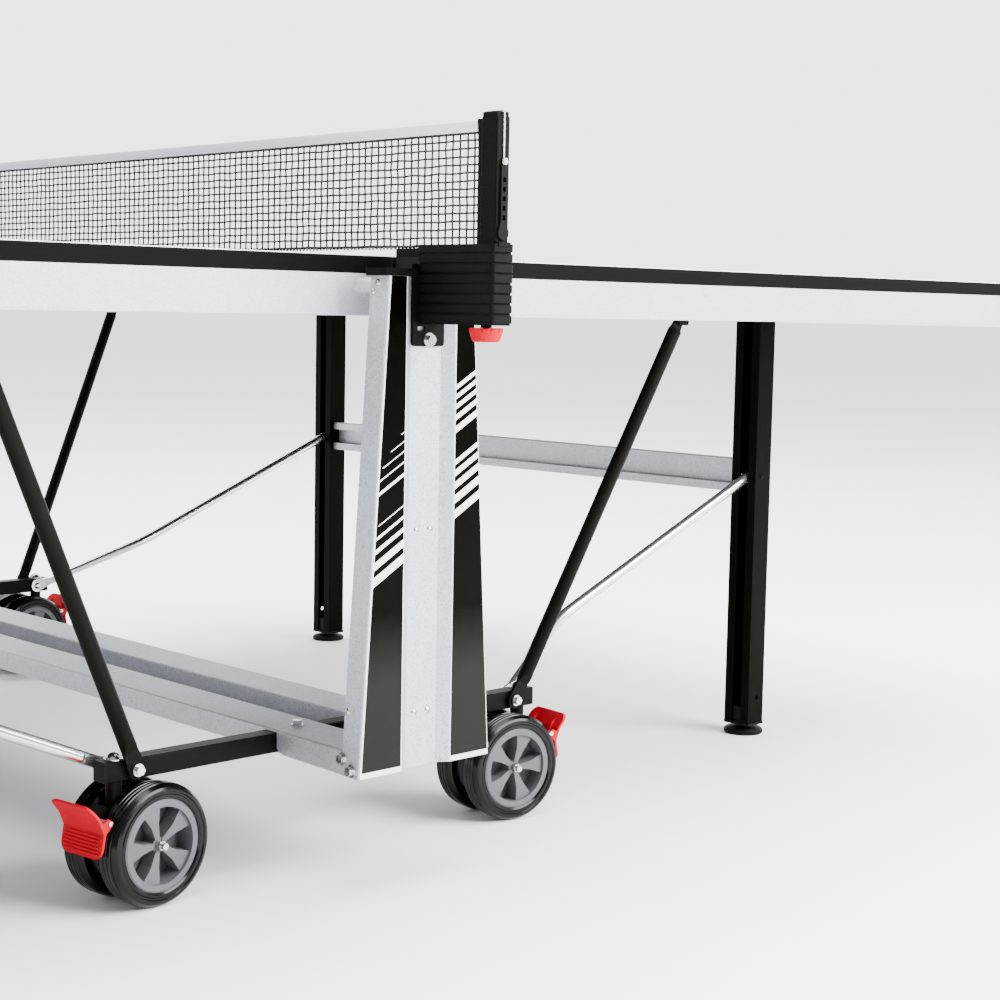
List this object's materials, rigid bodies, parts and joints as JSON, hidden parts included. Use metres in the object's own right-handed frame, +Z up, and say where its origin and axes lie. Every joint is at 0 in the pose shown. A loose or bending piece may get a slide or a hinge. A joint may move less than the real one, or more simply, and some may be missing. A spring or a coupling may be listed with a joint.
{
  "type": "table tennis table",
  "caption": "Folding table tennis table on twin-wheel casters, with net, A-shaped uprights, stays and slotted end legs.",
  "frame": {"origin": "on the floor under the middle of the table, below the net", "axes": "+Z up, X along the playing length, Y along the net"},
  "size_m": [2.74, 1.909, 0.922],
  "materials": {
    "galvanised": "bright galvanised sheet, fine spangle",
    "black_paint": "satin black powder coat",
    "silver_paint": "silver-grey powder coat with fine sparkle",
    "black_plastic": "satin moulded",
    "red_plastic": "fine-grained moulding",
    "grey_plastic": "satin moulded",
    "nylon": "natural nylon",
    "tyre": "semi-gloss rubber",
    "black_rubber": "moulded rubber",
    "zinc": "bright zinc plate",
    "playing_board": "matt blue playing surface, black edge band, white lines",
    "net": "knotted nylon mesh",
    "white_tape": "woven cotton tape",
    "white_cord": "braided cord"
  },
  "bodies": {
    "chassis": {"upright_far": "galvanised", "upright_near": "galvanised", "upright_caps": "black_plastic", "chassis_beam": "galvanised", "cross_tubes": "black_paint", "tube_end_caps": "black_plastic", "frame_fasteners": "zinc", "net_mesh": "net", "net_tape": "white_tape", "net_posts": "black_paint", "net_clamps": "black_plastic", "clamp_brackets": "black_paint", "tension_cords": "white_cord", "tension_straps": "black_rubber"},
    "guide_right": {"guide_shoes_right": "nylon"},
    "half_right": {"tabletop_right": "playing_board", "side_rails_right": "silver_paint", "end_rails_right": "silver_paint", "bearers_right": "black_paint"},
    "braces_right": {"braces_right": "black_paint"},
    "legs_right": {"legs_right": "black_paint", "leg_crossbar_right": "galvanised", "leg_caps_right": "black_plastic"},
    "link_rods_right": {"link_rods_right": "galvanised"},
    "foot_near_right": {"foot_near_right": "black_rubber"},
    "caster_right_near": {"caster_fork_right_near": "black_plastic", "caster_axle_right_near": "zinc"},
    "wheels_right_near": {"caster_tyres_right_near": "tyre", "caster_hubs_right_near": "grey_plastic"},
    "pedal_right_near": {"brake_pedal_right_near": "red_plastic"},
    "foot_far_right": {"foot_far_right": "black_rubber"},
    "caster_right_far": {"caster_fork_right_far": "black_plastic", "caster_axle_right_far": "zinc"},
    "wheels_right_far": {"caster_tyres_right_far": "tyre", "caster_hubs_right_far": "grey_plastic"},
    "pedal_right_far": {"brake_pedal_right_far": "red_plastic"},
    "guide_left": {"guide_shoes_left": "nylon"},
    "half_left": {"tabletop_left": "playing_board", "side_rails_left": "silver_paint", "end_rails_left": "silver_paint", "bearers_left": "black_paint"},
    "braces_left": {"braces_left": "black_paint"},
    "legs_left": {"legs_left": "black_paint", "leg_crossbar_left": "galvanised", "leg_caps_left": "black_plastic"},
    "link_rods_left": {"link_rods_left": "galvanised"},
    "foot_near_left": {"foot_near_left": "black_rubber"},
    "caster_left_near": {"caster_fork_left_near": "black_plastic", "caster_axle_left_near": "zinc"},
    "wheels_left_near": {"caster_tyres_left_near": "tyre", "caster_hubs_left_near": "grey_plastic"},
    "pedal_left_near": {"brake_pedal_left_near": "red_plastic"},
    "foot_far_left": {"foot_far_left": "black_rubber"},
    "caster_left_far": {"caster_fork_left_far": "black_plastic", "caster_axle_left_far": "zinc"},
    "wheels_left_far": {"caster_tyres_left_far": "tyre", "caster_hubs_left_far": "grey_plastic"},
    "pedal_left_far": {"brake_pedal_left_far": "red_plastic"},
    "knob_near": {"clamp_knob_near": "red_plastic"},
    "knob_far": {"clamp_knob_far": "red_plastic"}
  },
  "joints": [
    {"name": "guide_slide_right", "type": "slide", "parent": "chassis", "child": "guide_right", "axis": [0.0639, 0, -0.998], "range_m": [0, 0.4886]},
    {"name": "half_fold_right", "type": "hinge", "parent": "guide_right", "child": "half_right", "pos_m": [0.0545, 0, 0.724], "axis": [0, -1, 0], "range_deg": [0, 84]},
    {"name": "brace_pivot_right", "type": "hinge", "parent": "chassis", "child": "braces_right", "pos_m": [0.305, 0, 0.1615], "axis": [0, -1, 0], "range_deg": [0, 38.53]},
    {"name": "leg_fold_right", "type": "hinge", "parent": "half_right", "child": "legs_right", "pos_m": [0.93, 0, 0.716], "axis": [0, 1, 0], "range_deg": [0, 63.23]},
    {"name": "link_rod_pivot_right", "type": "hinge", "parent": "legs_right", "child": "link_rods_right", "pos_m": [0.955, 0, 0.434], "axis": [0, -1, 0], "range_deg": [0, 46.88]},
    {"name": "foot_screw_right_near", "type": "hinge", "parent": "legs_right", "child": "foot_near_right", "pos_m": [0.96, -0.557, 0.01], "axis": [0, 0, 1], "continuous": true},
    {"name": "caster_swivel_right_near", "type": "hinge", "parent": "chassis", "child": "caster_right_near", "pos_m": [0.326, -0.6565, 0.13], "axis": [0, 0, 1], "continuous": true},
    {"name": "wheel_spin_right_near", "type": "hinge", "parent": "caster_right_near", "child": "wheels_right_near", "pos_m": [0.29219, -0.65295, 0.073], "axis": [0.1045, 0.9945, 0], "continuous": true},
    {"name": "brake_rock_right_near", "type": "hinge", "parent": "caster_right_near", "child": "pedal_right_near", "pos_m": [0.35981, -0.66005, 0.111], "axis": [0.1045, 0.9945, 0], "range_deg": [0, 8]},
    {"name": "foot_screw_right_far", "type": "hinge", "parent": "legs_right", "child": "foot_far_right", "pos_m": [0.96, 0.557, 0.01], "axis": [0, 0, 1], "continuous": true},
    {"name": "caster_swivel_right_far", "type": "hinge", "parent": "chassis", "child": "caster_right_far", "pos_m": [0.326, 0.6565, 0.13], "axis": [0, 0, 1], "continuous": true},
    {"name": "wheel_spin_right_far", "type": "hinge", "parent": "caster_right_far", "child": "wheels_right_far", "pos_m": [0.29219, 0.65295, 0.073], "axis": [-0.1045, 0.9945, 0], "continuous": true},
    {"name": "brake_rock_right_far", "type": "hinge", "parent": "caster_right_far", "child": "pedal_right_far", "pos_m": [0.35981, 0.66005, 0.111], "axis": [-0.1045, 0.9945, 0], "range_deg": [0, 8]},
    {"name": "guide_slide_left", "type": "slide", "parent": "chassis", "child": "guide_left", "axis": [-0.0639, 0, -0.998], "range_m": [0, 0.4886]},
    {"name": "half_fold_left", "type": "hinge", "parent": "guide_left", "child": "half_left", "pos_m": [-0.0545, 0, 0.724], "axis": [0, 1, 0], "range_deg": [0, 84]},
    {"name": "brace_pivot_left", "type": "hinge", "parent": "chassis", "child": "braces_left", "pos_m": [-0.305, 0, 0.1615], "axis": [0, 1, 0], "range_deg": [0, 38.53]},
    {"name": "leg_fold_left", "type": "hinge", "parent": "half_left", "child": "legs_left", "pos_m": [-0.93, 0, 0.716], "axis": [0, -1, 0], "range_deg": [0, 63.23]},
    {"name": "link_rod_pivot_left", "type": "hinge", "parent": "legs_left", "child": "link_rods_left", "pos_m": [-0.955, 0, 0.434], "axis": [0, 1, 0], "range_deg": [0, 46.88]},
    {"name": "foot_screw_left_near", "type": "hinge", "parent": "legs_left", "child": "foot_near_left", "pos_m": [-0.96, -0.557, 0.01], "axis": [0, 0, 1], "continuous": true},
    {"name": "caster_swivel_left_near", "type": "hinge", "parent": "chassis", "child": "caster_left_near", "pos_m": [-0.326, -0.6565, 0.13], "axis": [0, 0, 1], "continuous": true},
    {"name": "wheel_spin_left_near", "type": "hinge", "parent": "caster_left_near", "child": "wheels_left_near", "pos_m": [-0.29229, -0.65206, 0.073], "axis": [0.1305, -0.9914, 0], "continuous": true},
    {"name": "brake_rock_left_near", "type": "hinge", "parent": "caster_left_near", "child": "pedal_left_near", "pos_m": [-0.35971, -0.66094, 0.111], "axis": [0.1305, -0.9914, 0], "range_deg": [0, 8]},
    {"name": "foot_screw_left_far", "type": "hinge", "parent": "legs_left", "child": "foot_far_left", "pos_m": [-0.96, 0.557, 0.01], "axis": [0, 0, 1], "continuous": true},
    {"name": "caster_swivel_left_far", "type": "hinge", "parent": "chassis", "child": "caster_left_far", "pos_m": [-0.326, 0.6565, 0.13], "axis": [0, 0, 1], "continuous": true},
    {"name": "wheel_spin_left_far", "type": "hinge", "parent": "caster_left_far", "child": "wheels_left_far", "pos_m": [-0.29213, 0.65354, 0.073], "axis": [-0.0872, -0.9962, 0], "continuous": true},
    {"name": "brake_rock_left_far", "type": "hinge", "parent": "caster_left_far", "child": "pedal_left_far", "pos_m": [-0.35987, 0.65946, 0.111], "axis": [-0.0872, -0.9962, 0], "range_deg": [0, 8]},
    {"name": "clamp_screw_near", "type": "hinge", "parent": "chassis", "child": "knob_near", "pos_m": [0, -0.925, 0.669], "axis": [0, 0, 1], "continuous": true},
    {"name": "clamp_screw_far", "type": "hinge", "parent": "chassis", "child": "knob_far", "pos_m": [0, 0.925, 0.669], "axis": [0, 0, 1], "continuous": true}
  ],
  "couplings": [
    {"joint": "guide_slide_right", "follows": "half_fold_right", "m_per_rad": 0.33291},
    {"joint": "brace_pivot_right", "follows": "half_fold_right", "ratio": 0.45626},
    {"joint": "leg_fold_right", "follows": "half_fold_right", "ratio": 0.75033},
    {"joint": "link_rod_pivot_right", "follows": "half_fold_right", "ratio": 0.5557},
    {"joint": "guide_slide_left", "follows": "half_fold_left", "m_per_rad": 0.33291},
    {"joint": "brace_pivot_left", "follows": "half_fold_left", "ratio": 0.45626},
    {"joint": "leg_fold_left", "follows": "half_fold_left", "ratio": 0.75033},
    {"joint": "link_rod_pivot_left", "follows": "half_fold_left", "ratio": 0.5557}
  ]
}
